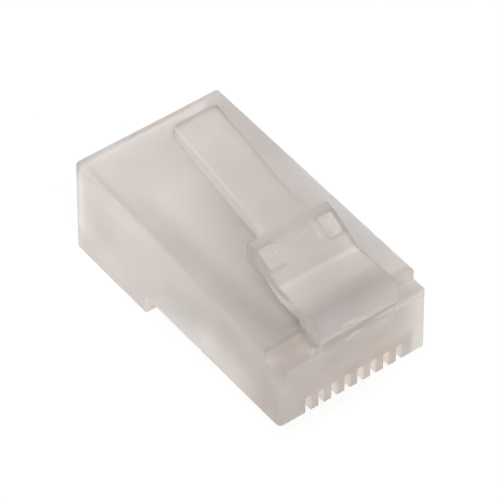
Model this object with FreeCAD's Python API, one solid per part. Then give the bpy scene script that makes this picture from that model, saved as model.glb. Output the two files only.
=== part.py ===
"""Eight-position modular plug for structured cabling, unterminated, with its release latch.

Frame: +X across the plug, +Y from the nose towards the cable entry, +Z from the contact
side towards the latch side. The origin is in the middle of the overall box, at its bottom.
All sizes are in millimetres.
"""
import FreeCAD, Part
import math
import os

# ---- body ----
BODY_LENGTH = 21.6
BODY_WIDTH = 11.68
REAR_HEIGHT = 7.65
NOSE_TOP = 7.2              # height of the latch-side face at the nose
STEP_HEIGHT = 1.45          # the nose section's contact side stands this much higher
REAR_SECTION = 7.7          # length of the deep section behind the step
SIDE_DRAFT = 0.018          # half width lost per millimetre of height
LENGTH_DRAFT = 0.004        # half width lost per millimetre towards the rear
LONG_EDGE_RADIUS = 0.3
REAR_EDGE_RADIUS = 0.25
STEP_RADIUS = 0.4
NOSE_CHAMFER = 0.42
NOSE_EDGE_RADIUS = 0.25
LEDGE_DEPTH = 0.97          # ledges beside the latch root
LEDGE_LENGTH = 1.5

# ---- latch ----
LATCH_WIDTH = 6.16
TAB_WIDTH = 3.46            # at the tab's end
TAB_ROOT_WIDTH = 3.24       # between the ears
ROLL_RADIUS = 1.05          # rounded root at the nose
ROLL_SETBACK = 0.6          # roll centre behind the nose face
ROLL_LIFT = 0.75            # roll centre above the latch-side face
ARM_THICKNESS = 0.95
HINGE_SETBACK = 1.9         # bending line behind the nose face
HINGE_GAP = 0.02
HINGE_WRAP = 75.0           # degrees that the root's lips reach around the knuckle
UNDERSIDE_KINK = 3.59       # where the arm's underside turns up under the ramp
RAMP_START = 3.69
RAMP_END = 5.95
SHOULDER = 6.96             # rear face of the locking ears, behind the nose face
RAMP_TOP = 3.06
SHOULDER_TOP = 3.26
SHOULDER_BOTTOM = 1.81
EAR_FRONT = 4.95            # where the ears' underside meets the underside of the ramp
EAR_FRONT_BOTTOM = 1.52
TAB_END = 16.5
TAB_END_TOP = 5.19
TAB_THICKNESS = 0.78
TAB_CORNER = 0.3
TAB_EDGE_RADIUS = 0.14
EAR_FILLET = 0.3
POCKET_RIM = 0.26           # wall left outside each ear's pocket
RIB_WIDTH = 0.34            # the two ribs that carry the tab's edges forward between the pockets
RIB_OVERHANG = 0.08         # how far each rib stands outside the tab's edge
EAR_POCKET_FRONT = 4.82
EAR_POCKET_REAR = 6.14
EAR_POCKET_DEPTH = 0.55
MIDDLE_POCKET_FRONT = 4.9
MIDDLE_POCKET_REAR = 5.98
MIDDLE_POCKET_DEPTH = 0.26
POCKET_FRONT_SHARE = 0.5    # depth at a pocket's front, as a share of its depth at the rear
POCKET_CORNER = 0.16

# ---- contacts ----
CONTACT_COUNT = 8
PITCH = 1.02
BLADE_THICKNESS = 0.35
BLADE_FRONT = 0.95
BLADE_REAR = 5.5
BLADE_INSET = 0.05          # the blade's edge lies this far inside the combs
BLADE_BODY = 1.85
BLADE_NOSE_RADIUS = 0.9
PRONG_COUNT = 3
PRONG_HEIGHT = 1.15
PRONG_WIDTH = 0.75
BLADE_SIDE_GAP = 0.01

# ---- combs and slots ----
COMB_GAP = 0.51
COMB_DEPTH = 1.45
COMB_END = 6.1
SLOT_END_RADIUS = 0.87      # rounded rear end of each slot's roof

# ---- wire ways and cavity ----
CHANNEL_RADIUS = 0.54
CHANNEL_DROP = 1.95         # channel axis below the latch-side face
CHANNEL_START = 1.0
CHANNEL_OVERLAP = 0.1       # how far each wire way runs on into the fan-out
FAN_START = 8.4
FAN_END = 14.0
JACKET_START = 15.6
MOUTH_FLARE_START = 21.15
CAVITY_WIDTH = 9.8
CAVITY_ROOF = 0.85          # roof of the cavity below the latch-side face at the nose
CAVITY_FLOOR = 1.0          # floor thickness under the jacket cavity
FAN_HEIGHT = 3.75
FAN_TIP_RADIUS = 0.486
CAVITY_RADIUS = 0.9
MOUTH_FLARE = 0.3

# ---- strain relief bars ----
JACKET_BAR_FRONT = 16.5
JACKET_BAR_REAR = 19.9
JACKET_BAR_WIDTH = 8.0
WIRE_BAR_FRONT = 7.2
WIRE_BAR_REAR = 9.0
WIRE_BAR_WIDTH = 8.0
BAR_GAP = 0.3
BAR_WEB = 0.4
BAR_RECESS = 0.12
BAR_HEEL = 0.2              # how far each web runs into the wall that carries it
BAR_BACK_SLOPE = 0.3        # run of each bar's sloping back
BAR_FRONT_SLOPE = 0.35      # run of each bar's sloping front
BAR_BACK_SHARE = 0.75       # height of the sloping back's top, as a share of the bar's
BAR_FRONT_SHARE = 0.8
JACKET_WINDOW_DEPTH = 1.5
JACKET_BAR_HEIGHT = 1.1
WIRE_WINDOW_DEPTH = 3.4
WIRE_BAR_HEIGHT = 1.7

# ---- margins ----
REACH = 40.0                # longer than anything in the part, for cutting tools
OVERSHOOT = 1.0             # how far a cutting tool stands out of the face that it cuts
SIDE_BAND = 0.6             # an edge this near to a side belongs to it
TOUCH = 0.01                # closer than this counts as touching
UPRIGHT = 0.99              # vertical part of an upright edge's direction

# ---- derived places ----
ROLL_OVERHANG = ROLL_RADIUS - ROLL_SETBACK
NOSE_Y = -(BODY_LENGTH + ROLL_OVERHANG) / 2 + ROLL_OVERHANG
REAR_Y = NOSE_Y + BODY_LENGTH
STEP_Y = REAR_Y - REAR_SECTION
TAB_SLOPE = (TAB_END_TOP - SHOULDER_TOP) / (TAB_END - SHOULDER)


def point(setback, height, x=0.0):
    """A point given by its distance behind the nose face and its height above the nose's top."""
    return FreeCAD.Vector(x, NOSE_Y + setback, NOSE_TOP + height)


def extrude_outline(edges, half_width):
    """A solid of the given YZ outline, spread equally to both sides of the middle plane."""
    face = Part.Face(Part.Wire(edges))
    face.translate(FreeCAD.Vector(-half_width, 0, 0))
    solid = face.extrude(FreeCAD.Vector(2 * half_width, 0, 0))
    if solid.Volume < 0:
        solid.reverse()
    return solid


def polygon_edges(points):
    """Straight edges through the points and back to the first."""
    ends = points[1:] + points[:1]
    return [Part.LineSegment(a, b).toShape() for a, b in zip(points, ends)]


def block(x_low, x_high, setback_low, setback_high, height_low, height_high):
    """A box between two corners given as x, distance behind the nose and height."""
    corner = point(setback_low, height_low, x_low)
    return Part.makeBox(x_high - x_low, setback_high - setback_low, height_high - height_low, corner)


def mirrored(shape):
    """The same shape on the other side of the middle plane."""
    return shape.mirror(FreeCAD.Vector(0, 0, 0), FreeCAD.Vector(1, 0, 0))


def rounded_section(setback, half_width, low, high, radius):
    """A rounded rectangle across the plug, as a wire at one distance behind the nose."""
    y = NOSE_Y + setback
    z_low = NOSE_TOP + low
    z_high = NOSE_TOP + high
    right = [(half_width, z_low + radius, 270), (half_width, z_high - radius, 0)]
    left = [(-half_width, z_high - radius, 90), (-half_width, z_low + radius, 180)]
    arcs = []
    for x, z, start in right + left:
        centre = FreeCAD.Vector(x - math.copysign(radius, x), y, z)
        angles = [math.radians(start + turn) for turn in (0, 45, 90)]
        spots = [centre + FreeCAD.Vector(radius * math.cos(a), 0, radius * math.sin(a)) for a in angles]
        arcs.append(Part.Arc(*spots).toShape())
    edges = []
    for arc, following in zip(arcs, arcs[1:] + arcs[:1]):
        leave = arc.valueAt(arc.LastParameter)
        meet = following.valueAt(following.FirstParameter)
        edges.append(arc)
        edges.append(Part.LineSegment(leave, meet).toShape())
    return Part.Wire(edges)


def edges_where(shape, test):
    """The edges whose two ends and middle all satisfy the test."""
    chosen = []
    for edge in shape.Edges:
        middle = edge.valueAt((edge.FirstParameter + edge.LastParameter) / 2)
        spots = [vertex.Point for vertex in edge.Vertexes] + [middle]
        if all(test(spot) for spot in spots):
            chosen.append(edge)
    return chosen


# ---------------------------------------------------------------- housing
def drafted_envelope():
    """A block with flat sides that lean in towards the latch side and towards the rear."""
    rings = []
    for y in (NOSE_Y - OVERSHOOT, REAR_Y + OVERSHOOT):
        corners = []
        low = -OVERSHOOT
        high = REAR_HEIGHT + OVERSHOOT
        for side, z in ((-1, low), (1, low), (1, high), (-1, high)):
            half = BODY_WIDTH / 2 - SIDE_DRAFT * (z - NOSE_TOP / 2) - LENGTH_DRAFT * (y - NOSE_Y)
            corners.append(FreeCAD.Vector(side * half, y, z))
        rings.append(corners)
    front, rear = rings
    walls = [[front[i], front[i - 1], rear[i - 1], rear[i]] for i in range(len(front))]
    faces = [Part.Face(Part.Wire(polygon_edges(ring))) for ring in walls + rings]
    return Part.Solid(Part.Shell(faces))


def body_blank():
    """The outer form: a box with a deeper rear section, drafted sides and rounded edges."""
    outline = [
        FreeCAD.Vector(0, NOSE_Y, STEP_HEIGHT),
        FreeCAD.Vector(0, STEP_Y, STEP_HEIGHT),
        FreeCAD.Vector(0, STEP_Y, 0),
        FreeCAD.Vector(0, REAR_Y, 0),
        FreeCAD.Vector(0, REAR_Y, REAR_HEIGHT),
        FreeCAD.Vector(0, NOSE_Y, NOSE_TOP),
    ]
    blank = extrude_outline(polygon_edges(outline), BODY_WIDTH).common(drafted_envelope())
    corners = edges_where(blank, lambda p: near_side(p) and p.y < NOSE_Y + TOUCH)
    blank = blank.makeChamfer(NOSE_CHAMFER, corners)
    long_edges = [e for e in blank.Edges if runs_along_side(e)]
    blank = blank.makeFillet(LONG_EDGE_RADIUS, long_edges)
    rear_edges = edges_where(blank, lambda p: p.y > REAR_Y - TOUCH)
    blank = blank.makeFillet(REAR_EDGE_RADIUS, rear_edges)
    rounds = [corner_round(STEP_Y, 0, STEP_RADIUS), corner_round(NOSE_Y, STEP_HEIGHT, NOSE_EDGE_RADIUS)]
    return blank.cut(rounds)


def corner_round(y, z, radius):
    """The waste outside a rounded front lower corner that runs right across the plug."""
    start = FreeCAD.Vector(-REACH / 2, y + radius, z + radius)
    outside = FreeCAD.Vector(-REACH / 2, y - OVERSHOOT, z - OVERSHOOT)
    waste = Part.makeBox(REACH, radius + OVERSHOOT, radius + OVERSHOOT, outside)
    return waste.cut(Part.makeCylinder(radius, REACH, start, FreeCAD.Vector(1, 0, 0)))


def near_side(spot):
    """True close to either side of the body."""
    return abs(spot.x) > BODY_WIDTH / 2 - SIDE_BAND


def runs_along_side(edge):
    """True for the long edges between the sides and the two main faces."""
    ends = [vertex.Point for vertex in edge.Vertexes]
    long_enough = abs(ends[0].y - ends[1].y) > LEDGE_LENGTH
    return long_enough and all(near_side(p) for p in ends)


def nose_ledges():
    """The two corner cut-outs beside the latch root, as tools to remove."""
    right = block(LATCH_WIDTH / 2, REACH, -REACH, LEDGE_LENGTH, -LEDGE_DEPTH, REACH)
    return [right, mirrored(right)]


def latch_root():
    """The round root that carries the latch, with a socket for the bending line."""
    centre = point(ROLL_SETBACK, ROLL_LIFT, -LATCH_WIDTH / 2)
    roll = Part.makeCylinder(ROLL_RADIUS, LATCH_WIDTH, centre, FreeCAD.Vector(1, 0, 0))
    top = ROLL_LIFT + ROLL_RADIUS
    lip = HINGE_SETBACK - hinge_radius() * math.cos(math.radians(HINGE_WRAP))
    half = LATCH_WIDTH / 2
    neck = block(-half, half, ROLL_SETBACK, lip, top - ARM_THICKNESS, top)
    return roll.fuse(neck).cut(hinge_cylinder(hinge_radius() + HINGE_GAP))


def hinge_radius():
    """Radius of the knuckle that stands in for the bending line, half the arm's thickness."""
    return ARM_THICKNESS / 2


def hinge_cylinder(radius):
    """A cylinder about the latch's bending line."""
    height = ROLL_LIFT + ROLL_RADIUS - hinge_radius()
    start = point(HINGE_SETBACK, height, -LATCH_WIDTH / 2)
    return Part.makeCylinder(radius, LATCH_WIDTH, start, FreeCAD.Vector(1, 0, 0))


def cavity():
    """The way in for the cable: flared mouth, jacket space, sloping shelf and fan-out."""
    half = CAVITY_WIDTH / 2
    roof = -CAVITY_ROOF
    floor = CAVITY_FLOOR - NOSE_TOP
    narrow = channel_x(CONTACT_COUNT - 1) + CHANNEL_RADIUS
    wires_low = -CHANNEL_DROP - CHANNEL_RADIUS
    wires_high = -CHANNEL_DROP + CHANNEL_RADIUS
    flare = MOUTH_FLARE
    fan_tip = rounded_section(FAN_START, narrow, wires_low, wires_high, FAN_TIP_RADIUS)
    fan_mouth = rounded_section(FAN_END, half, roof - FAN_HEIGHT, roof, CAVITY_RADIUS)
    shelf_foot = rounded_section(JACKET_START, half, floor, roof, CAVITY_RADIUS)
    mouth_start = rounded_section(MOUTH_FLARE_START, half, floor, roof, CAVITY_RADIUS)
    rear = BODY_LENGTH + TOUCH
    mouth_end = rounded_section(rear, half + flare, floor - flare, roof + flare, CAVITY_RADIUS + flare)
    sections = [fan_tip, fan_mouth, shelf_foot, mouth_start, mouth_end]
    return [Part.makeLoft(list(pair), True, True) for pair in zip(sections, sections[1:])]


def channel_x(index):
    """The middle of one contact position."""
    return (index - (CONTACT_COUNT - 1) / 2) * PITCH


def wire_channel(index):
    """One round wire way, from behind the nose wall to the fan-out."""
    start = point(CHANNEL_START, -CHANNEL_DROP, channel_x(index))
    length = FAN_START + CHANNEL_OVERLAP - CHANNEL_START
    return Part.makeCylinder(CHANNEL_RADIUS, length, start, FreeCAD.Vector(0, 1, 0))


def contact_slot(index):
    """The slot for one contact: a wide gap between the combs and a narrow one that grips."""
    x = channel_x(index)
    bottom = STEP_HEIGHT - NOSE_TOP
    gap = COMB_GAP / 2
    grip = BLADE_THICKNESS / 2 + BLADE_SIDE_GAP
    roof = bottom + COMB_DEPTH
    wide = block(x - gap, x + gap, -OVERSHOOT, COMB_END, bottom - OVERSHOOT, roof)
    end = point(COMB_END - TOUCH, roof - TOUCH)
    wide = wide.makeFillet(SLOT_END_RADIUS, edges_where(wide, lambda p: p.z > end.z and p.y > end.y))
    front = BLADE_FRONT - BLADE_SIDE_GAP
    rear = BLADE_REAR + BLADE_SIDE_GAP
    narrow = block(x - grip, x + grip, front, rear, bottom, -CHANNEL_DROP)
    return wide.fuse(narrow)


def bar_window(front, rear, width, outer, depth):
    """The window around a strain relief bar, from outside the contact side into the cavity."""
    half = width / 2 + BAR_GAP
    return block(-half, half, front - BAR_GAP, rear, outer - OVERSHOOT, outer + depth)


def strain_bar(front, rear, width, outer, height):
    """A wedge bar that hangs on a thin web at its cable side, free at its nose side."""
    low = outer + BAR_RECESS
    web_front = rear - BAR_WEB
    outline = [
        point(front, low),
        point(rear + BAR_HEEL, low),
        point(rear + BAR_HEEL, low + BAR_WEB),
        point(web_front, low + BAR_WEB),
        point(web_front - BAR_BACK_SLOPE, low + height * BAR_BACK_SHARE),
        point(front + BAR_FRONT_SLOPE, low + height),
        point(front, low + height * BAR_FRONT_SHARE),
    ]
    return extrude_outline(polygon_edges(outline), width / 2)


def housing():
    """The moulded body with its root, combs, wire ways, cavity and strain relief bars."""
    body = body_blank()
    body = body.cut(nose_ledges())
    body = body.fuse(latch_root())
    body = body.cut(cavity())
    body = body.cut([wire_channel(i) for i in range(CONTACT_COUNT)])
    body = body.cut([contact_slot(i) for i in range(CONTACT_COUNT)])
    rear_bottom = -NOSE_TOP
    nose_bottom = STEP_HEIGHT - NOSE_TOP
    jacket_bar = (JACKET_BAR_FRONT, JACKET_BAR_REAR, JACKET_BAR_WIDTH, rear_bottom)
    wire_bar = (WIRE_BAR_FRONT, WIRE_BAR_REAR, WIRE_BAR_WIDTH, nose_bottom)
    windows = [bar_window(*jacket_bar, JACKET_WINDOW_DEPTH), bar_window(*wire_bar, WIRE_WINDOW_DEPTH)]
    bars = [strain_bar(*jacket_bar, JACKET_BAR_HEIGHT), strain_bar(*wire_bar, WIRE_BAR_HEIGHT)]
    body = body.cut(windows)
    body = body.fuse(bars)
    return body.removeSplitter()


# ---------------------------------------------------------------- latch arm
def arm_side_outline():
    """The latch arm seen from the side: knuckle end, thin arm, ramp, ears' depth and tab."""
    top = ROLL_LIFT + ROLL_RADIUS
    low = top - ARM_THICKNESS
    middle = top - hinge_radius()
    knuckle = Part.Arc(
        point(HINGE_SETBACK, low),
        point(HINGE_SETBACK - hinge_radius(), middle),
        point(HINGE_SETBACK, top),
    ).toShape()
    path = [
        point(HINGE_SETBACK, top),
        point(RAMP_START, top),
        point(RAMP_END, RAMP_TOP),
        point(SHOULDER, SHOULDER_TOP),
        point(TAB_END, TAB_END_TOP),
        point(TAB_END, TAB_END_TOP - TAB_THICKNESS),
        point(SHOULDER, SHOULDER_BOTTOM),
        point(EAR_FRONT, EAR_FRONT_BOTTOM),
        point(UNDERSIDE_KINK, low),
        point(HINGE_SETBACK, low),
    ]
    lines = [Part.LineSegment(a, b).toShape() for a, b in zip(path, path[1:])]
    return [knuckle] + lines


def arm_plan():
    """The latch seen from above: wide arm to the ears, then the tab, which widens to a rounded end."""
    ear = LATCH_WIDTH / 2
    root = TAB_ROOT_WIDTH / 2
    end = TAB_WIDTH / 2
    corner = TAB_CORNER
    fillet = EAR_FILLET
    turn = math.sqrt(0.5)
    right = [
        Part.LineSegment(point(0, 0, ear), point(SHOULDER, 0, ear)),
        Part.LineSegment(point(SHOULDER, 0, ear), point(SHOULDER, 0, root + fillet)),
        Part.Arc(
            point(SHOULDER, 0, root + fillet),
            point(SHOULDER + fillet * (1 - turn), 0, root + fillet * (1 - turn)),
            point(SHOULDER + fillet, 0, root),
        ),
        Part.LineSegment(point(SHOULDER + fillet, 0, root), point(TAB_END - corner, 0, end)),
        Part.Arc(
            point(TAB_END - corner, 0, end),
            point(TAB_END - corner * (1 - turn), 0, end - corner * (1 - turn)),
            point(TAB_END, 0, end - corner),
        ),
    ]
    right_edges = [curve.toShape() for curve in right]
    left_edges = [mirrored(edge) for edge in right_edges]
    rear = Part.LineSegment(point(TAB_END, 0, end - corner), point(TAB_END, 0, corner - end)).toShape()
    front = Part.LineSegment(point(0, 0, -ear), point(0, 0, ear)).toShape()
    groups = Part.sortEdges(right_edges + [rear, front] + left_edges)
    face = Part.Face(Part.Wire([edge for group in groups for edge in group]))
    face.translate(FreeCAD.Vector(0, 0, -REACH / 2))
    return face.extrude(FreeCAD.Vector(0, 0, REACH))


def tab_top(setback):
    """Height of the tab's straight upper face, carried forward between the ears."""
    return SHOULDER_TOP + (setback - SHOULDER) * TAB_SLOPE


def ramp_height(setback):
    """Height of the ramp, and of the ears' tops behind it."""
    top = ROLL_LIFT + ROLL_RADIUS
    slope = (RAMP_TOP - top) / (RAMP_END - RAMP_START)
    return min(top + slope * (setback - RAMP_START), tab_top(setback))


def pocket(x_low, x_high, front, rear, depth):
    """A sink in the ramp that keeps the walls even, deepest at its rear, as a tool to remove."""
    outline = [
        point(front, ramp_height(front) - depth * POCKET_FRONT_SHARE),
        point(rear, ramp_height(rear) - depth),
        point(rear, SHOULDER_TOP + OVERSHOOT),
        point(front, SHOULDER_TOP + OVERSHOOT),
    ]
    tool = extrude_outline(polygon_edges(outline), (x_high - x_low) / 2)
    tool.translate(FreeCAD.Vector((x_low + x_high) / 2, 0, 0))
    upright = [e for e in tool.Edges if abs(e.tangentAt(e.FirstParameter).z) > UPRIGHT]
    return tool.makeFillet(POCKET_CORNER, upright)


def pockets():
    """One sink in each ear and a shallower one between the two ribs."""
    rib_outside = TAB_ROOT_WIDTH / 2 + RIB_OVERHANG
    rib_inside = rib_outside - RIB_WIDTH
    rim = LATCH_WIDTH / 2 - POCKET_RIM
    ear = pocket(rib_outside, rim, EAR_POCKET_FRONT, EAR_POCKET_REAR, EAR_POCKET_DEPTH)
    middle = pocket(-rib_inside, rib_inside, MIDDLE_POCKET_FRONT, MIDDLE_POCKET_REAR, MIDDLE_POCKET_DEPTH)
    return [ear, mirrored(ear), middle]


def on_tab_rim(spot):
    """True on the rim of the tab's upper face, behind the ears."""
    setback = spot.y - NOSE_Y
    return setback > SHOULDER + EAR_FILLET - TOUCH and abs(spot.z - NOSE_TOP - tab_top(setback)) < TOUCH


def latch_arm():
    """The flexing arm with its two locking ears and its finger tab."""
    arm = extrude_outline(arm_side_outline(), LATCH_WIDTH / 2)
    arm = arm.common(arm_plan())
    arm = arm.makeFillet(TAB_EDGE_RADIUS, edges_where(arm, on_tab_rim))
    return arm.cut(pockets()).removeSplitter()


# ---------------------------------------------------------------- contacts
def contact(index):
    """One insulation-piercing blade: rounded nose corner, straight edge and sharp prongs."""
    bottom = STEP_HEIGHT - NOSE_TOP + BLADE_INSET
    top = bottom + BLADE_BODY
    radius = BLADE_NOSE_RADIUS
    turn = math.sqrt(0.5)
    nose = Part.Arc(
        point(BLADE_FRONT, bottom + radius),
        point(BLADE_FRONT + radius * (1 - turn), bottom + radius * (1 - turn)),
        point(BLADE_FRONT + radius, bottom),
    ).toShape()
    path = [point(BLADE_FRONT + radius, bottom), point(BLADE_REAR, bottom)]
    spacing = (BLADE_REAR - BLADE_FRONT - PRONG_WIDTH) / (PRONG_COUNT - 1)
    for number in reversed(range(PRONG_COUNT)):
        front = BLADE_FRONT + number * spacing
        path.append(point(front + PRONG_WIDTH, top))
        path.append(point(front + PRONG_WIDTH / 2, top + PRONG_HEIGHT))
        path.append(point(front, top))
    path.append(point(BLADE_FRONT, bottom + radius))
    lines = [Part.LineSegment(a, b).toShape() for a, b in zip(path, path[1:])]
    blade = extrude_outline([nose] + lines, BLADE_THICKNESS / 2)
    blade.translate(FreeCAD.Vector(channel_x(index), 0, 0))
    return blade


def save(name, shape):
    """Write one node as a STEP file and say what it holds."""
    shape.exportStep("parts/" + name + ".step")
    box = shape.BoundBox
    print(name, "solids", len(shape.Solids), "valid", shape.isValid(), "volume", round(shape.Volume, 2))
    print("  box", [round(v, 3) for v in (box.XMin, box.YMin, box.ZMin, box.XMax, box.YMax, box.ZMax)])


def main():
    os.makedirs("parts", exist_ok=True)
    save("housing", housing())
    save("latch_arm", latch_arm())
    for index in range(CONTACT_COUNT):
        save("contact_" + str(index + 1), contact(index))


main()
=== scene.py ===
"""Looks of an unterminated eight-position modular plug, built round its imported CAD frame.

One frame for all: metres, +X across the plug, +Y from the nose to the cable entry, +Z up to the
latch side. The body stays the CAD moulding. The latch gets a skin of its own, one with its root,
that bends where the real moulding bends. The contacts keep their CAD blades.
"""
import math

import bmesh
import bpy
import numpy as np
from mathutils import Matrix, Vector


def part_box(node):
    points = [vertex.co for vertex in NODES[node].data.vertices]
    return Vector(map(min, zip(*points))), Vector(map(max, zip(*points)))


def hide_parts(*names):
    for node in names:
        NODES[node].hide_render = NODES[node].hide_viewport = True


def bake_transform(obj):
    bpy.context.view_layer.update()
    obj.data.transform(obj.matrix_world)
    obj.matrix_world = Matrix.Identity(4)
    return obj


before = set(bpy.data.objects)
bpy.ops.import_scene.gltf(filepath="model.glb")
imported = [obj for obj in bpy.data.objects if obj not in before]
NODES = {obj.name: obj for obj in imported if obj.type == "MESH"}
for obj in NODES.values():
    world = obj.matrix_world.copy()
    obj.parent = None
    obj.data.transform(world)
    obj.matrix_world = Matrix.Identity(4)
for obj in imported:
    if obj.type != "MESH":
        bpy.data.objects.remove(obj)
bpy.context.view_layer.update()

MM = 0.001

# ---- latch root, in millimetres: setbacks are behind the nose face, lifts are over its top ----
NOSE_Y = -10.575            # nose face
NOSE_TOP = 7.2              # latch-side face at the nose
ROLL_RADIUS = 1.05          # the round root, seen from the side
ROLL_SETBACK = 0.6
ROLL_LIFT = 0.75
ROLL_POINTS = 49
ARM_THICKNESS = 0.95
SKIN_JOIN = 2.05            # the arm's own mesh begins here, behind the root's outline
SKIN_PROUD = 0.012          # how far the skin's root stands out of the moulding's root
BEND_SECTIONS = (2.25, 2.45, 2.65, 2.85, 3.05, 3.3)    # cuts that let the skin bend
SOFT_EDGE = 0.05            # width of the rounding along the skin's sharp edges
SOFT_STEPS = 2              # and its steps

# ---- latch skin's mesh ----
LATCH_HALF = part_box("latch_arm")[1].x   # half its width, in metres
SEAM = 1e-6                 # points of the arm closer than this, in metres, are one
JOIN_SEAM = 2e-6            # the same where the root's outline meets the arm
FLAT_ANGLE = 0.5            # faces within so many degrees are one face
SHARP_ANGLE = 30.0          # edges over so many degrees are softened
REST_PLACE = "rest_place"   # where each point of the skin is with the latch free

# ---- tones of the plastic, linear; most of them paint light or shade into the colour ----
# the rear's paler tone is partly painted light through its thin walls, and the nose's darker tone
# partly the contacts inside
REAR_TONE = (0.765, 0.722, 0.70)
NOSE_TONE = (0.655, 0.61, 0.58)
# painted light on the arm; painted shade on the ears and the root's front
ARM_LIFT_TONE = (0.79, 0.74, 0.71)
EAR_SHADE_TONE = (0.585, 0.55, 0.53)
TAB_TONE = (0.715, 0.67, 0.64)
ROOT_SHADE_TONE = (0.64, 0.59, 0.565)
# painted shadow on the near corner
CORNER_SHADOW_TONE = (0.49, 0.45, 0.43)
# painted light: the latch's shadow lifted, and the far edges paler
SHADOW_LIFT_TONE = (0.99, 0.96, 0.94)
EDGE_LIGHT_TONE = (0.95, 0.92, 0.90)
# painted shade on the nose face
FACE_SHADE_TONE = (0.55, 0.505, 0.48)
TOOTH_TONE = (0.45, 0.415, 0.395)
# painted shade on the ledges
LEDGE_SHADE_TONE = (0.40, 0.37, 0.35)
# painted shade on the rims and edges
RIM_SHADE_TONE = (0.38, 0.36, 0.355)
# painted highlight streaks on the latch's root
HIGHLIGHT_STREAK_TONE = (0.95, 0.88, 0.84)
# painted light: the contacts' warm glow, and the glow of thin walls
CONTACT_GLOW = (0.84, 0.74, 0.62)
PAINTED_GLOW_TONE = (0.98, 0.94, 0.91)
CLOUD_TONE = (0.93, 0.87, 0.86)
WARM_CLOUD = (0.90, 0.84, 0.77)

# ---- where the tones lie ----
REAR_PLAIN = 4.0            # behind this y the body has its rear tone
NOSE_PLAIN = -10.0          # in front of this y it has its nose tone
RIM_SLOPE = 0.5575          # the plane of the ears' rims rises so much with y
RIM_AT_MIDDLE = 12.84       # and passes this height at the middle
# A zone is a list of limits (axis, start, full): nothing of the tone up to start, all of it from
# full on, in millimetres. "side" is the distance from the middle of the width, and "sunk" is how
# far a spot lies under the plane of the ears' rims.
# where the painted highlight streaks lie, on the root's front
HIGHLIGHT_STREAK_ZONE = (("y", -8.6, -9.6), ("z", 5.6, 6.6), ("z", 8.6, 7.9), ("side", 3.4, 2.6))
# where painted light lifts the arm
ARM_LIFT_ZONE = (("z", 8.5, 8.9), ("side", 3.2, 3.09), ("y", -4.0, -4.6), ("y", -9.9, -8.6))
# where the latch's shadow on the top is lifted with painted light
SHADOW_LIFT_ZONE = (
    ("side", 4.8, 2.8),
    ("y", 9.0, 4.0),
    ("y", -8.6, -7.6),
    ("z", 6.9, 7.3),
    ("z", 9.08, 9.03),
)
# where the ears' rims take painted shade
EAR_RIM_SHADE_ZONE = (
    ("sunk", 0.2, 0.04),
    ("side", 1.45, 1.95),
    ("z", 9.1, 9.4),
    ("y", -6.1, -5.8),
    ("y", -3.3, -3.6),
)
TONE_ZONES = (
    # share, tone, zone: each goes over the ones before it
    # low down: painted warm light from the contacts, and painted glow on the thin near wall
    (0.35, CONTACT_GLOW, (("side", 4.6, 3.4), ("y", -3.5, -6.5), ("z", 5.2, 2.4))),
    (0.6, PAINTED_GLOW_TONE, (("z", 5.4, 2.2), ("y", 3.5, 0.0), ("x", -5.2, -5.6))),
    # painted light: the latch's shadow lifted from the top under it, and a paler strip beside it at
    # the far side
    (1.0, SHADOW_LIFT_TONE, SHADOW_LIFT_ZONE),
    (1.0, EDGE_LIGHT_TONE, (("x", 3.0, 4.0), ("y", 5.5, 1.5), ("y", -9.0, -8.4), ("z", 6.9, 7.3))),
    # painted shade on the nose face and painted light on its far end, then painted shadow on the near
    # corner with its cut-out and ledges
    (0.8, FACE_SHADE_TONE, (("y", -9.6, -10.4), ("z", 7.3, 6.6))),
    (0.8, EDGE_LIGHT_TONE, (("x", 3.2, 5.2), ("y", -9.9, -10.4))),
    (0.85, CORNER_SHADOW_TONE, (("x", -2.8, -4.6), ("y", -5.5, -9.4))),
    (0.9, LEDGE_SHADE_TONE, (("x", -4.9, -5.4), ("y", -9.4, -10.0), ("z", 5.2, 6.4))),
    (0.6, LEDGE_SHADE_TONE, (("x", -2.4, -3.4), ("y", -9.8, -10.4), ("z", 5.0, 6.6))),
    (0.9, LEDGE_SHADE_TONE, (("x", -2.9, -3.3), ("y", -8.7, -9.1), ("z", 6.9, 7.1), ("z", 7.9, 7.6))),
    # the rear: painted shade low on the near wall, and painted glow on the mouth's thin rim
    (0.4, FACE_SHADE_TONE, (("x", -5.3, -5.7), ("y", 5.0, 9.0), ("z", 2.0, 4.0))),
    (0.5, PAINTED_GLOW_TONE, (("y", 9.8, 10.5),)),
    # the latch: painted shade on the root's front, painted light on the arm, painted shade on the
    # ears and on their long edges
    (0.9, ROOT_SHADE_TONE, (("side", 3.4, 3.1), ("y", -9.5, -10.1), ("z", 7.0, 7.6))),
    (1.0, ARM_LIFT_TONE, ARM_LIFT_ZONE),
    (1.0, EAR_SHADE_TONE, (("z", 9.0, 9.15), ("y", -8.0, -6.9))),
    (0.7, RIM_SHADE_TONE, (("side", 2.85, 3.05), ("y", -8.3, -7.3), ("z", 8.5, 8.9))),
    # the tab, then painted shade on the ears' rims and the tab's far edge, and painted light on the
    # tab's near edge
    (1.0, TAB_TONE, (("z", 9.0, 9.15), ("y", -4.2, -3.4))),
    (0.9, RIM_SHADE_TONE, EAR_RIM_SHADE_ZONE),
    (0.8, RIM_SHADE_TONE, (("x", 1.5, 1.64), ("z", 9.1, 9.4), ("y", -3.6, -3.3))),
    (0.4, PAINTED_GLOW_TONE, (("x", -1.5, -1.64), ("z", 9.1, 9.4), ("y", -3.6, -3.3))),
    # the combs' ends
    (0.8, TOOTH_TONE, (("z", 4.2, 3.0), ("y", -10.38, -10.5), ("side", 4.8, 4.3))),
)

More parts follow.
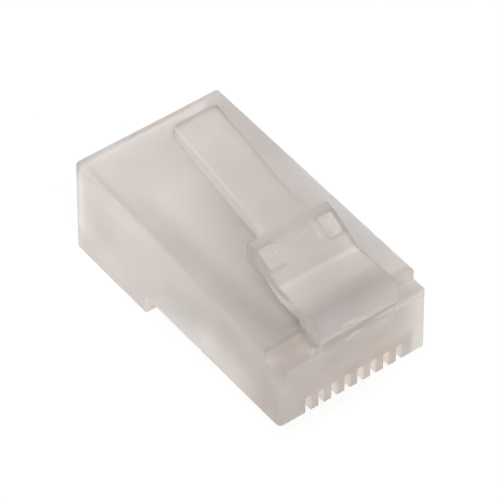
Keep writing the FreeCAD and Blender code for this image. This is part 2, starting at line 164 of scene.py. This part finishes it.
# ---- the plastic's clouds, painted highlight streaks and grain: scales are in patches to the metre ----
NOISE_RANGE = (0.3, 0.7)    # plain noise seldom leaves this
CLOUD_SHARE = 0.22
CLOUDS = (
    # scale, detail, tone
    (420.0, 3.0, CLOUD_TONE),
    (230.0, 2.0, WARM_CLOUD),
)
HIGHLIGHT_STREAKS = (420.0, 2200.0, 2200.0)
HIGHLIGHT_STREAK_DETAIL = 3.0
HIGHLIGHT_STREAK_SPREAD = (-2.8, 2.2)   # only the peaks of the painted highlight streaks show
HIGHLIGHT_STREAK_SHARE = 0.6
SATIN_SCALE = 900.0
SATIN_DETAIL = 2.0
SATIN = (0.36, 0.46)        # lowest and highest roughness
GRAIN_SCALE = 5200.0
GRAIN_DETAIL = 3.0
GRAIN_DEPTH = 0.02          # millimetres
GRAIN_STRENGTH = 0.25
SOAK_DEPTH = 3.0            # how far light wanders in the plastic, in millimetres
SOAK_COLOURS = (1.0, 0.93, 0.88)    # and how far by colour, as shares of that
CLEAR_SHARE = 0.5           # the part of the light that goes through as in frosted glass
PLASTIC_IOR = 1.5
PLASTIC_SHINE = 0.3

# ---- the contacts' gold ----
GOLD_DEEP = (0.78, 0.53, 0.22)
GOLD_PALE = (0.90, 0.68, 0.34)
WIPE_MARKS = (6000.0, 300.0, 6000.0)
WIPE_DETAIL = 4.0
GOLD_ROUGHNESS = (0.2, 0.38)    # lowest and highest

# ---- stage, in metres ----
FLOOR_HALF = 0.6
FLOOR_DROP = 0.00002        # the floor lies this far under the plug
FLOOR_LIT = 0.85            # the floor as it lights the plug
FLOOR_GLOW = 0.6            # and the light it gives off then
FLOOR_WHITE = 1.06          # the floor as it is seen
FLOOR_SHADE = 0.2           # the part of that white that a shadow can take away
SKY = 0.45                  # the even light from all round
LAMP_AIM = (0, 0, 0.004)
LAMPS = (
    # name, place, width, power in watts
    ("key", (-0.14, -0.08, 0.34), 0.25, 0.33),
    ("left_fill", (-0.34, 0.02, 0.08), 0.2, 0.09),
    ("nose_fill", (-0.04, -0.31, 0.14), 0.2, 0.3),
    ("right_fill", (0.34, 0.02, 0.12), 0.2, 0.3),
)
CAMERA_AZIMUTH = -36.97     # the three angles are in degrees
CAMERA_ELEVATION = 45.34
CAMERA_ROLL = -0.28
CAMERA_DISTANCE = 0.2317
CAMERA_TARGET = (0.00062, 0.000905, 0.0039)
CAMERA_NEAR = 0.01
SENSOR_WIDTH = 36.0         # this and the lens are in millimetres
LENS = 263.16


def link(obj):
    """Put an object into the scene."""
    bpy.context.scene.collection.objects.link(obj)
    return obj


# ------------------------------------------------------------------ shader nodes
def new_material(name, kind):
    """A node material with one shader of the given kind on its surface, and its tree."""
    material = bpy.data.materials.new(name)
    material.use_nodes = True
    tree = material.node_tree
    tree.nodes.clear()
    output = tree.nodes.new("ShaderNodeOutputMaterial")
    shader = tree.nodes.new(kind)
    tree.links.new(shader.outputs[0], output.inputs["Surface"])
    return material, tree, shader


def object_place(tree, rest=None):
    """The place of a spot, and the same split into x, y and z.

    It is the object coordinates, or the named attribute that keeps each point's resting place.
    """
    if rest:
        kept = tree.nodes.new("ShaderNodeAttribute")
        kept.attribute_type = "GEOMETRY"
        kept.attribute_name = rest
        place = kept.outputs["Vector"]
    else:
        place = tree.nodes.new("ShaderNodeTexCoord").outputs["Object"]
    split = tree.nodes.new("ShaderNodeSeparateXYZ")
    tree.links.new(place, split.inputs[0])
    return place, split.outputs


def stretched(tree, place, scale):
    """The place with each axis scaled, so that noise on it is drawn out."""
    mapping = tree.nodes.new("ShaderNodeMapping")
    mapping.inputs["Scale"].default_value = scale
    tree.links.new(place, mapping.inputs["Vector"])
    return mapping.outputs["Vector"]


def fade(tree, value, start, full):
    """Smooth rise from 0 at start to 1 at full, both in millimetres along the value."""
    node = tree.nodes.new("ShaderNodeMapRange")
    node.interpolation_type = "SMOOTHSTEP"
    node.inputs["From Min"].default_value = start * MM
    node.inputs["From Max"].default_value = full * MM
    tree.links.new(value, node.inputs["Value"])
    return node.outputs["Result"]


def maths(tree, operation, *values):
    """One Math node. Each value is a number or another node's output."""
    node = tree.nodes.new("ShaderNodeMath")
    node.operation = operation
    for socket, value in zip(node.inputs, values):
        if isinstance(value, (int, float)):
            socket.default_value = value
        else:
            tree.links.new(value, socket)
    return node.outputs[0]


def noise(tree, place, scale, detail, low, high):
    """Cloudy noise, spread from low to high. The scale is in patches to the metre."""
    cloud = tree.nodes.new("ShaderNodeTexNoise")
    cloud.inputs["Scale"].default_value = scale
    cloud.inputs["Detail"].default_value = detail
    tree.links.new(place, cloud.inputs["Vector"])
    spread = tree.nodes.new("ShaderNodeMapRange")
    spread.inputs["From Min"].default_value = NOISE_RANGE[0]
    spread.inputs["From Max"].default_value = NOISE_RANGE[1]
    spread.inputs["To Min"].default_value = low
    spread.inputs["To Max"].default_value = high
    tree.links.new(cloud.outputs["Fac"], spread.inputs["Value"])
    return spread.outputs["Result"]


def mix_colour(tree, amount, first, second):
    """First colour where the amount is 0, second where it is 1.

    The node's sockets for colours are its inputs 6 and 7 and its output 2.
    """
    node = tree.nodes.new("ShaderNodeMix")
    node.data_type = "RGBA"
    tree.links.new(amount, node.inputs["Factor"])
    for socket, colour in ((node.inputs[6], first), (node.inputs[7], second)):
        if isinstance(colour, tuple):
            socket.default_value = (*colour, 1)
        else:
            tree.links.new(colour, socket)
    return node.outputs[2]


def inside(tree, axes, zone):
    """1 inside a zone and 0 outside it: the product of the fades at its limits."""
    share = None
    for axis, start, full in zone:
        step = fade(tree, axes[axis], start, full)
        share = step if share is None else maths(tree, "MULTIPLY", share, step)
    return share


# ------------------------------------------------------------------ materials
def zone_axes(tree, split):
    """The axes that zones are given on. "sunk" is slope times y, plus the rim's height, less z."""
    x, y, z = split
    side = maths(tree, "ABSOLUTE", x)
    rim = maths(tree, "MULTIPLY_ADD", y, RIM_SLOPE, RIM_AT_MIDDLE * MM)
    return {"x": x, "y": y, "z": z, "side": side, "sunk": maths(tree, "SUBTRACT", rim, z)}


def plastic_colour(tree, place, axes):
    """The nose darker than the rear, partly as painted light, then each zone's tone, mostly painted
    light or shade, the painted highlight streaks on the root and the clouds.
    """
    colour = mix_colour(tree, fade(tree, axes["y"], REAR_PLAIN, NOSE_PLAIN), REAR_TONE, NOSE_TONE)
    for share, tone, zone in TONE_ZONES:
        amount = maths(tree, "MULTIPLY", inside(tree, axes, zone), share)
        colour = mix_colour(tree, amount, colour, tone)
    # painted highlight streaks on the root's front
    streaks = noise(tree, stretched(tree, place, HIGHLIGHT_STREAKS), 1.0, HIGHLIGHT_STREAK_DETAIL, *HIGHLIGHT_STREAK_SPREAD)
    streaks = maths(tree, "MAXIMUM", streaks, 0.0)
    marks = maths(tree, "MULTIPLY", inside(tree, axes, HIGHLIGHT_STREAK_ZONE), streaks)
    colour = mix_colour(tree, maths(tree, "MINIMUM", marks, HIGHLIGHT_STREAK_SHARE), colour, HIGHLIGHT_STREAK_TONE)
    for scale, detail, tone in CLOUDS:
        colour = mix_colour(tree, noise(tree, place, scale, detail, 0.0, CLOUD_SHARE), colour, tone)
    return colour


def milky_plastic(name, rest=None):
    """Frosted milky plastic: light soaks in and through, and thin walls glow."""
    material, tree, shader = new_material(name, "ShaderNodeBsdfPrincipled")
    place, split = object_place(tree, rest)
    tree.links.new(plastic_colour(tree, place, zone_axes(tree, split)), shader.inputs["Base Color"])
    tree.links.new(noise(tree, place, SATIN_SCALE, SATIN_DETAIL, *SATIN), shader.inputs["Roughness"])
    shader.subsurface_method = "BURLEY"
    shader.inputs["IOR"].default_value = PLASTIC_IOR
    shader.inputs["Specular IOR Level"].default_value = PLASTIC_SHINE
    shader.inputs["Transmission Weight"].default_value = CLEAR_SHARE
    shader.inputs["Subsurface Weight"].default_value = 1.0
    shader.inputs["Subsurface Radius"].default_value = SOAK_COLOURS
    shader.inputs["Subsurface Scale"].default_value = SOAK_DEPTH * MM
    bump = tree.nodes.new("ShaderNodeBump")
    bump.inputs["Strength"].default_value = GRAIN_STRENGTH
    bump.inputs["Distance"].default_value = GRAIN_DEPTH * MM
    tree.links.new(noise(tree, place, GRAIN_SCALE, GRAIN_DETAIL, 0.0, 1.0), bump.inputs["Height"])
    tree.links.new(bump.outputs["Normal"], shader.inputs["Normal"])
    return material


def gold_plating():
    """Thin gold over the blades, with fine lengthwise wipe marks."""
    material, tree, shader = new_material("gold_plating", "ShaderNodeBsdfPrincipled")
    place = stretched(tree, object_place(tree)[0], WIPE_MARKS)
    marks = noise(tree, place, 1.0, WIPE_DETAIL, 0.0, 1.0)
    tree.links.new(mix_colour(tree, marks, GOLD_DEEP, GOLD_PALE), shader.inputs["Base Color"])
    tree.links.new(noise(tree, place, 1.0, WIPE_DETAIL, *GOLD_ROUGHNESS), shader.inputs["Roughness"])
    shader.inputs["Metallic"].default_value = 1.0
    return material


def dress(obj, material):
    """Give an object this one material."""
    obj.data.materials.clear()
    obj.data.materials.append(material)


# ------------------------------------------------------------------ latch skin
def side_point(setback, height):
    """(y, z) in metres of a spot given by its distance behind the nose and height above its top."""
    return (NOSE_Y + setback) * MM, (NOSE_TOP + height) * MM


def root_profile():
    """The root's outline from the side: level top, round roll at the nose, underside of the arm.

    The roll is an arc about its centre, from straight up, round the nose side, to where it meets
    the arm's underside: there its sine is the underside's height over the centre by the radius.
    """
    top = ROLL_LIFT + ROLL_RADIUS
    low = top - ARM_THICKNESS
    end = 2 * math.pi + math.asin((low - ROLL_LIFT) / ROLL_RADIUS)
    turn = np.linspace(math.pi / 2, end, ROLL_POINTS)
    setback = np.concatenate([[SKIN_JOIN], ROLL_SETBACK + ROLL_RADIUS * np.cos(turn), [SKIN_JOIN]])
    height = np.concatenate([[top], ROLL_LIFT + ROLL_RADIUS * np.sin(turn), [low]])
    return side_point(setback, height)


def cut_across(skin, setback, clear_front=False):
    """Cut the skin straight across behind the nose face, and clear what is in front if asked."""
    geometry = skin.verts[:] + skin.edges[:] + skin.faces[:]
    spot = (0, side_point(setback, 0)[0], 0)
    bmesh.ops.bisect_plane(
        skin, geom=geometry, plane_co=spot, plane_no=(0, 1, 0), clear_inner=clear_front
    )


def add_root(skin):
    """Draw the root's outline straight across the latch's width and close both ends."""
    y, z = root_profile()
    left = [skin.verts.new((-LATCH_HALF, a, b)) for a, b in zip(y, z)]
    right = [skin.verts.new((LATCH_HALF, a, b)) for a, b in zip(y, z)]
    for i in range(len(left) - 1):
        skin.faces.new((left[i], left[i + 1], right[i + 1], right[i]))
    skin.faces.new(left)
    skin.faces.new(right[::-1])
    bmesh.ops.remove_doubles(skin, verts=skin.verts, dist=JOIN_SEAM)


def read_points(mesh, name):
    """One vector of each point of a mesh, as an array."""
    values = np.empty(len(mesh.vertices) * 3)
    mesh.vertices.foreach_get(name, values)
    return values.reshape(-1, 3)


def stand_proud(mesh):
    """Move the root's part out along its normals, fading to nothing over the bending sections."""
    points = read_points(mesh, "co")
    setback = points[:, 1] / MM - NOSE_Y
    first, last = BEND_SECTIONS[0], BEND_SECTIONS[-1]
    share = np.clip((last - setback) / (last - first), 0, 1)
    points += read_points(mesh, "normal") * (SKIN_PROUD * MM * share)[:, None]
    mesh.vertices.foreach_set("co", points.ravel())
    rest = mesh.attributes.new(REST_PLACE, "FLOAT_VECTOR", "POINT")
    rest.data.foreach_set("vector", points.ravel())
    mesh.update()


def latch_skin():
    """The latch and its root as one closed skin, with sections where it can bend.

    Behind the join it is the arm's own mesh. In front of it, it is the root's outline. The root's
    part stands a little out of the moulding under it, and each point keeps its resting place.
    """
    skin = bmesh.new()
    skin.from_mesh(NODES["latch_arm"].data)
    bmesh.ops.remove_doubles(skin, verts=skin.verts, dist=SEAM)
    flat = math.radians(FLAT_ANGLE)
    bmesh.ops.dissolve_limit(skin, angle_limit=flat, verts=skin.verts, edges=skin.edges)
    cut_across(skin, SKIN_JOIN, clear_front=True)
    add_root(skin)
    for setback in BEND_SECTIONS:
        cut_across(skin, setback)
    bmesh.ops.recalc_face_normals(skin, faces=skin.faces)
    skin.normal_update()
    mesh = bpy.data.meshes.new("latch_skin")
    skin.to_mesh(mesh)
    skin.free()
    stand_proud(mesh)
    return link(bpy.data.objects.new("latch_skin", mesh))


def soften(obj):
    """Round the sharp edges a little and shade the rest smoothly."""
    bevel = obj.modifiers.new("soft_edges", "BEVEL")
    bevel.width = SOFT_EDGE * MM
    bevel.segments = SOFT_STEPS
    bevel.limit_method = "ANGLE"
    bevel.angle_limit = math.radians(SHARP_ANGLE)
    bevel.use_clamp_overlap = False
    for face in obj.data.polygons:
        face.use_smooth = True
    even = obj.modifiers.new("even_normals", "WEIGHTED_NORMAL")
    even.keep_sharp = True


# ------------------------------------------------------------------ stage
def plain_shader(tree, kind, **values):
    """A shader with plain values. A single number for Color is a grey."""
    node = tree.nodes.new(kind)
    for name, value in values.items():
        node.inputs[name].default_value = (value, value, value, 1) if name == "Color" else value
    return node.outputs[0]


def by_sight(tree, mix, lighting, seen):
    """Seen where the camera looks, straight, in gloss or through glass, and lighting for the rest."""
    path = tree.nodes.new("ShaderNodeLightPath").outputs
    direct = maths(tree, "MAXIMUM", path["Is Camera Ray"], path["Is Glossy Ray"])
    direct = maths(tree, "MAXIMUM", direct, path["Is Transmission Ray"])
    for output, socket in zip((direct, lighting, seen), mix.inputs):
        tree.links.new(output, socket)


def lit_and_glowing(tree, tone, glow):
    """A surface of a grey tone that also gives off its own light."""
    both = tree.nodes.new("ShaderNodeAddShader")
    tree.links.new(plain_shader(tree, "ShaderNodeBsdfDiffuse", Color=tone), both.inputs[0])
    tree.links.new(plain_shader(tree, "ShaderNodeEmission", Strength=glow), both.inputs[1])
    return both.outputs[0]


def stage_floor():
    """A plain pale floor that looks white but still takes the plug's soft shadow."""
    mesh = bpy.data.meshes.new("floor")
    signs = ((-1, -1), (1, -1), (1, 1), (-1, 1))
    corners = [(x * FLOOR_HALF, y * FLOOR_HALF, -FLOOR_DROP) for x, y in signs]
    mesh.from_pydata(corners, [], [(0, 1, 2, 3)])
    floor = link(bpy.data.objects.new("floor", mesh))
    material, tree, mix = new_material("pale_floor", "ShaderNodeMixShader")
    lighting = lit_and_glowing(tree, FLOOR_LIT, FLOOR_GLOW)
    by_sight(tree, mix, lighting, lit_and_glowing(tree, FLOOR_SHADE, FLOOR_WHITE - FLOOR_SHADE))
    dress(floor, material)


def world_light():
    """Even light from all round, and plain white where the camera looks past the floor."""
    world = bpy.data.worlds.new("studio")
    bpy.context.scene.world = world
    world.use_nodes = True
    tree = world.node_tree
    tree.nodes.clear()
    output = tree.nodes.new("ShaderNodeOutputWorld")
    mix = tree.nodes.new("ShaderNodeMixShader")
    sky = plain_shader(tree, "ShaderNodeBackground", Color=1.0, Strength=SKY)
    white = plain_shader(tree, "ShaderNodeBackground", Color=1.0, Strength=1.0)
    by_sight(tree, mix, sky, white)
    tree.links.new(mix.outputs[0], output.inputs["Surface"])


def lamp(name, place, size, power):
    """A round soft lamp, turned to the plug."""
    data = bpy.data.lights.new(name, "AREA")
    data.shape = "DISK"
    data.size = size
    data.energy = power
    obj = link(bpy.data.objects.new(name, data))
    obj.location = place
    obj.rotation_euler = (Vector(LAMP_AIM) - Vector(place)).to_track_quat("-Z", "Y").to_euler()


def camera():
    """A long lens, turned round the plug, tipped down on it and rolled a little."""
    azimuth, elevation, roll = map(math.radians, (CAMERA_AZIMUTH, CAMERA_ELEVATION, CAMERA_ROLL))
    level = math.cos(elevation)
    back = Vector((math.sin(azimuth) * level, -math.cos(azimuth) * level, math.sin(elevation)))
    right = (-back).cross(Vector((0, 0, 1))).normalized()
    up = right.cross(-back)
    across = right * math.cos(roll) + up * math.sin(roll)
    upright = up * math.cos(roll) - right * math.sin(roll)
    data = bpy.data.cameras.new("camera")
    data.sensor_width = SENSOR_WIDTH
    data.lens = LENS
    data.clip_start = CAMERA_NEAR
    obj = link(bpy.data.objects.new("camera", data))
    obj.matrix_world = Matrix((across, upright, back)).transposed().to_4x4()
    obj.location = Vector(CAMERA_TARGET) + back * CAMERA_DISTANCE
    bpy.context.scene.camera = obj


# ------------------------------------------------------------------ the plug and its stage
plastic = milky_plastic("milky_plastic")
latch_plastic = milky_plastic("milky_plastic_latch", REST_PLACE)
gold = gold_plating()
dress(NODES["housing"], plastic)
for name, node in NODES.items():
    if name.startswith("contact"):
        dress(node, gold)

skin = latch_skin()
dress(skin, latch_plastic)
soften(skin)
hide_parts("latch_arm")
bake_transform(skin)

stage_floor()
world_light()
for name, place, size, power in LAMPS:
    lamp(name, place, size, power)
camera()
bpy.context.scene.view_settings.view_transform = "Standard"
